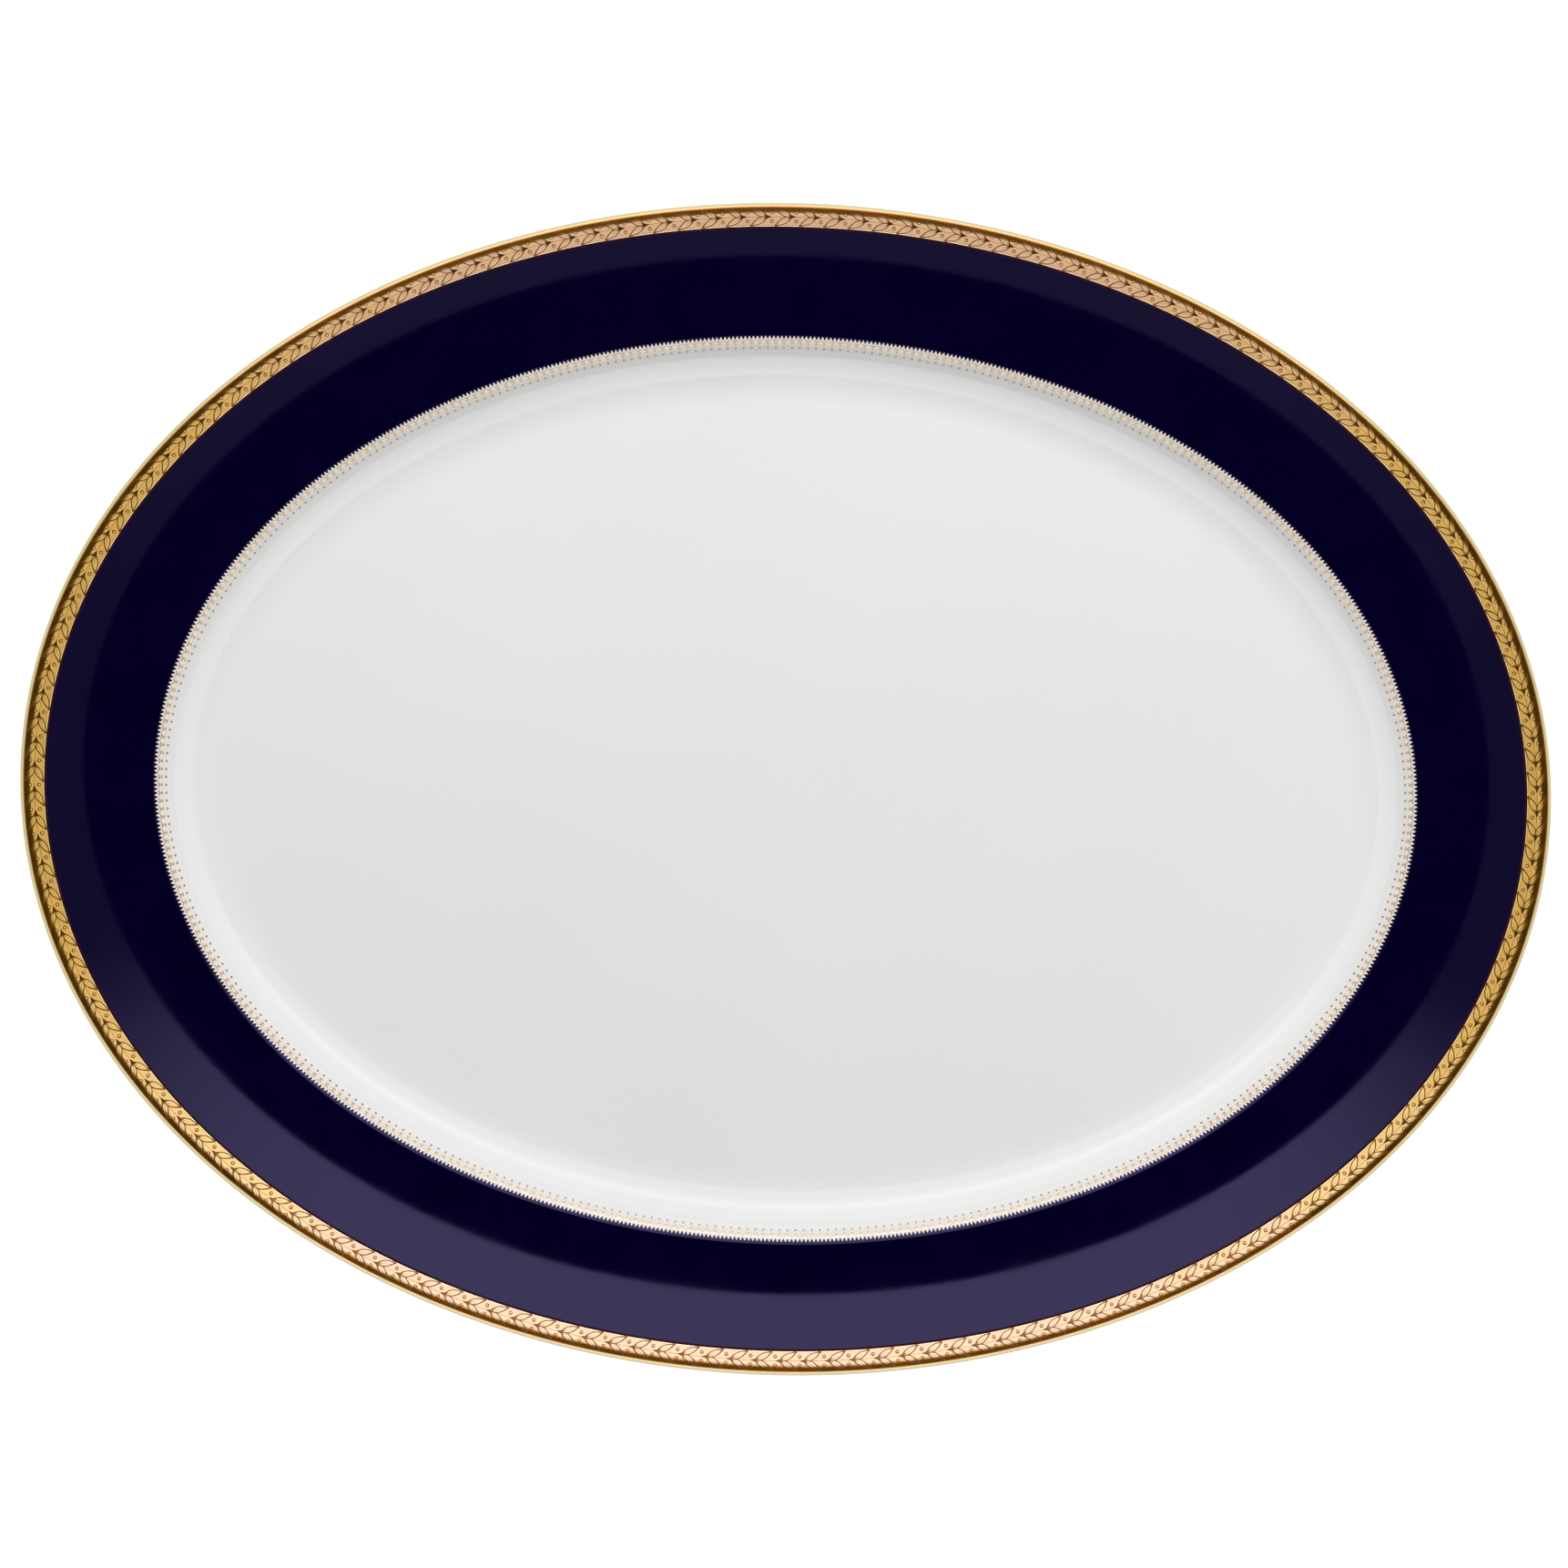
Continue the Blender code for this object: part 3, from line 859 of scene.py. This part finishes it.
def scalloped_ring(enamel):
    """The edging's white line, straight along its inner edge and scalloped along its outer one."""
    scallops = TASSEL_REPEATS * SCALLOPS_PER_TASSEL
    stations = 8 * scallops
    share = np.arange(stations) / stations
    turn = turns_spaced_evenly(COBALT_INNER, share * length_round(COBALT_INNER))
    inner = COBALT_INNER + SCALLOP_BORDER
    wave = 0.5 - 0.5 * np.cos(2 * math.pi * share * scallops)
    outer = COBALT_INNER - SCALLOP_BITE * wave**1.1
    rings = []
    for lift, depth in ((SCALLOP_TOP, inner), (SCALLOP_TOP, outer), (0.0, outer), (0.0, inner)):
        angle = slope_angle(depth)
        x = (HALF_LENGTH - depth - lift * np.sin(angle)) * np.cos(turn)
        y = (HALF_WIDTH - depth - lift * np.sin(angle)) * np.sin(turn)
        level = top_height(depth) + lift * np.cos(angle)
        rings.append(np.column_stack([x, y, np.broadcast_to(level, stations)]))
    faces = ring_faces(len(rings), True, stations=stations)
    return piece_from("verge_scallops", np.concatenate(rings), faces, enamel)


def edging_pieces(wash, enamel, printed):
    """The scalloped edging at the verge, its slanting lines, and the tassels on the wall."""
    section = layer_section(COBALT_INNER + WASH_START, COBALT_INNER + WASH_WIDTH, 8)
    swept_ring("verge_wash", section, wash)
    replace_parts(scalloped_ring(enamel), "verge_edging")

    period = length_round(COBALT_INNER) / TASSEL_REPEATS
    lattice, tassels = Strip(), Strip()
    for side in (-1, 1):
        arm = [(side * share * period, across) for share, across in SLANT]
        lattice.bar(arm, SLANT_HALF_WIDTHS, LINE_LIFT)
    lattice.laid_round("verge_lattice", COBALT_INNER, TASSEL_REPEATS, printed, "printed_gold")

    tassels.bar(TASSEL_STEM, TASSEL_STEM_HALF_WIDTHS, LINE_LIFT)
    for across, reach, half_width in TASSEL_BARS:
        ends = across - TASSEL_BAR_DROOP
        half_widths = (0.5 * half_width, half_width, 0.5 * half_width)
        tassels.bar([(-reach, ends), (0.0, across), (reach, ends)], half_widths, BAR_LIFT)
    tassels.dome(TASSEL_BEAD, *TASSEL_BEAD_HALF, BEAD_LIFT, 10)
    row = tassels.laid_round("tassel_row", COBALT_INNER, TASSEL_REPEATS, printed, "printed_gold")
    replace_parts(row, "tassel_border")


# ---- The stage

CAMERA_DISTANCE = 2.0  # above the lip
VIEW_WIDTH = 0.4161  # what the frame takes in at the lip's height
VIEW_ROLL = math.radians(1.85)  # the platter lies turned by this much in the frame
VIEW_OFFSET = (-0.0005, 0.0013)  # the camera's place from the platter's centre
SENSOR = 36.0

FLOOR_SPAN = 8.0
FLOOR_LEVEL = -0.00002  # just under the foot
FLOOR_COLOUR = (0.72, 0.72, 0.72)
FLOOR_GLOW = 0.7  # as the camera and the glaze see it
FLOOR_GLOW_CAST = 0.3  # as it lights the platter

# The tent. A tilt is how far round a direction lies, from -1 towards the near side to 1 towards
# the far side. A pair of tilts or zenith angles is where a change begins and where it is full
TENT_GLOW = 0.485  # of its even light
OVERHEAD_AXIS = (0.0, -math.sin(math.radians(3.75)), math.cos(math.radians(3.75)))
OVERHEAD_EDGE = (math.radians(28.85), math.radians(30.05))  # of the dark opening overhead
SIDE_GLOW = 0.11  # of its sides, high up
BOX_GLOW = 1.1  # of the soft box, as the glaze mirrors it
BOX_TILTS = (0.42, 0.93)
NEAR_GLOW = 0.08  # more, high up over the near side
NEAR_TILTS = (-0.3, -1.0)
LOW_ZENITH = (math.radians(43), math.radians(53))  # from high up to low down
LOW_GLOW = 1.35
LOW_NEAR_GLOW = 1.80
LOW_NEAR_TILTS = (0.0, -0.9)
LOW_FAR_GLOW = 1.4  # more, beyond the far side
LOW_FAR_TILTS = (0.3, 0.95)
LOW_FAR_ZENITH = (math.radians(58), math.radians(68))  # where that ends

BOX_PLACE = (0.1, 0.55, 0.87)
BOX_SIZE = (0.7, 0.4)
BOX_POWER = 7.0


def make_camera():
    data = bpy.data.cameras.new("camera")
    data.sensor_width = SENSOR
    data.lens = SENSOR * CAMERA_DISTANCE / VIEW_WIDTH
    data.clip_start, data.clip_end = 0.01, 20.0
    camera = bpy.data.objects.new("camera", data)
    camera.location = (*VIEW_OFFSET, HEIGHT - LIP_RADIUS + CAMERA_DISTANCE)
    camera.rotation_euler = (0.0, 0.0, VIEW_ROLL)
    bpy.context.scene.collection.objects.link(camera)
    bpy.context.scene.camera = camera


def pale_floor():
    """White that glows, and is clear from behind."""
    material = bpy.data.materials.new("pale_floor")
    material.use_nodes = True
    # It isn't sampled as a lamp, which would draw a streak across the platter's underside
    material.cycles.emission_sampling = "NONE"
    tree = material.node_tree
    tree.nodes.clear()
    cast = add_node(tree, "ShaderNodeLightPath").outputs["Is Diffuse Ray"]
    glows = {"Value": cast, "To Min": FLOOR_GLOW, "To Max": FLOOR_GLOW_CAST}
    strength = add_node(tree, "ShaderNodeMapRange", glows).outputs["Result"]
    glow = add_node(tree, "ShaderNodeEmission", {"Strength": strength})
    matt = add_node(tree, "ShaderNodeBsdfDiffuse", {"Color": (*FLOOR_COLOUR, 1.0)})
    front = add_node(tree, "ShaderNodeAddShader", {0: matt.outputs[0], 1: glow.outputs[0]})
    clear = add_node(tree, "ShaderNodeBsdfTransparent")
    behind = add_node(tree, "ShaderNodeNewGeometry").outputs["Backfacing"]
    sides = {0: behind, 1: front.outputs[0], 2: clear.outputs[0]}
    surface = add_node(tree, "ShaderNodeMixShader", sides).outputs[0]
    add_node(tree, "ShaderNodeOutputMaterial", {"Surface": surface})
    return material


def make_floor():
    """A pale floor, bright enough to lose the platter's soft shadow, and open from below. It lights
    the platter's underside less than it shows, so that the underside keeps its shading."""
    half = FLOOR_SPAN / 2
    corners = [(-half, -half), (half, -half), (half, half), (-half, half)]
    mesh = bpy.data.meshes.new("floor")
    mesh.from_pydata([(x, y, FLOOR_LEVEL) for x, y in corners], [], [(0, 1, 2, 3)])
    mesh.materials.append(pale_floor())
    floor = bpy.data.objects.new("floor", mesh)
    bpy.context.scene.collection.objects.link(floor)


def mirrored_glow(tree):
    """What the glaze and the gold mirror of the tent: dark straight overhead, bright beyond the far
    side, dim to the sides and pale low down."""

    def maths(operation, a, b=0.0):
        return add_node(tree, "ShaderNodeMath", {0: a, 1: b}, operation=operation).outputs[0]

    def eased_step(value, limits, before, after):
        """From one number to another, while the value goes from the first limit to the second."""
        wanted = {"Value": value, "From Min": limits[0], "From Max": limits[1]}
        wanted |= {"To Min": before, "To Max": after}
        step = add_node(tree, "ShaderNodeMapRange", wanted, interpolation_type="SMOOTHSTEP")
        return step.outputs[0]

    direction = add_node(tree, "ShaderNodeTexCoord").outputs["Generated"]
    x, y, z = add_node(tree, "ShaderNodeSeparateXYZ", {0: direction}).outputs
    zenith = maths("ARCCOSINE", z)
    level = maths("SQRT", maths("ADD", maths("MULTIPLY", x, x), maths("MULTIPLY", y, y)))
    tilt = maths("DIVIDE", y, maths("MAXIMUM", level, 0.001))
    pair = {0: direction, 1: OVERHEAD_AXIS}
    cosine = add_node(tree, "ShaderNodeVectorMath", pair, operation="DOT_PRODUCT")
    off_axis = maths("ARCCOSINE", cosine.outputs["Value"])
    opening = eased_step(off_axis, OVERHEAD_EDGE, 0.0, 1.0)

    box = eased_step(tilt, BOX_TILTS, 0.0, BOX_GLOW - SIDE_GLOW)
    near = eased_step(tilt, NEAR_TILTS, 0.0, NEAR_GLOW)
    high = maths("ADD", maths("ADD", box, near), SIDE_GLOW)
    far = eased_step(tilt, LOW_FAR_TILTS, 0.0, LOW_FAR_GLOW)
    far = maths("MULTIPLY", far, eased_step(zenith, LOW_FAR_ZENITH, 1.0, 0.0))
    low = maths("ADD", far, eased_step(tilt, LOW_NEAR_TILTS, LOW_GLOW, LOW_NEAR_GLOW))
    lowness = eased_step(zenith, LOW_ZENITH, 0.0, 1.0)
    high = maths("MULTIPLY", high, maths("SUBTRACT", 1.0, lowness))
    low = maths("MULTIPLY", low, lowness)
    return maths("MULTIPLY", maths("ADD", high, low), opening)


def make_tent():
    """A white tent round the platter, which is the world. Its soft light is even, and only what is
    mirrored of it has a pattern."""
    world = bpy.data.worlds.new("studio")
    bpy.context.scene.world = world
    world.use_nodes = True
    tree = world.node_tree
    tree.nodes.clear()

    def white(strength):
        inputs = {"Color": (1, 1, 1, 1), "Strength": strength}
        return add_node(tree, "ShaderNodeBackground", inputs).outputs[0]

    def choice(ray, otherwise, chosen):
        share = add_node(tree, "ShaderNodeLightPath").outputs[ray]
        return add_node(tree, "ShaderNodeMixShader", {0: share, 1: otherwise, 2: chosen}).outputs[0]

    light = choice("Is Glossy Ray", white(TENT_GLOW), white(mirrored_glow(tree)))
    shown = choice("Is Camera Ray", light, white(1.0))
    add_node(tree, "ShaderNodeOutputWorld", {"Surface": shown})


def make_soft_box():
    """One broad lamp beyond the platter's far side. Glaze and gold don't mirror it, as the tent's
    pattern stands in for it there."""
    data = bpy.data.lights.new("soft_box", "AREA")
    data.shape = "RECTANGLE"
    data.size, data.size_y = BOX_SIZE
    data.energy = BOX_POWER
    box = bpy.data.objects.new("soft_box", data)
    box.location = BOX_PLACE
    box.rotation_euler = Vector(BOX_PLACE).to_track_quat("Z", "Y").to_euler()
    box.visible_camera = False
    box.visible_glossy = False
    bpy.context.scene.collection.objects.link(box)


def main():
    make_camera()
    make_floor()
    make_tent()
    make_soft_box()
    bpy.context.scene.view_settings.view_transform = "Standard"

    etched = gold(
        "etched_gold",
        metallic=1.0,
        yellow=(1.0, 0.61, 0.12),
        side_highlight_colour=(1.0, 0.62, 0.32),
        roughness=(0.48, 0.58),
        grain=(0.0003, 0.000012),
    )
    leaf_gold = gold(
        "leaf_gold",
        metallic=0.94,
        yellow=(1.0, 0.66, 0.15),
        side_highlight_colour=(1.0, 0.65, 0.36),
        roughness=(0.46, 0.56),
        grain=(0.0006, 0.000006),
    )

    china_pieces(white_china(), dry_china())
    cobalt_piece(cobalt_glaze())
    hairline_piece(dark_hairline())
    lip_piece(lip_gold())
    laurel_pieces(etched, leaf_gold, engraving_shade(), deep_engraving_shade())
    edging_pieces(gold_wash(), white_enamel(), printed_gold())


main()
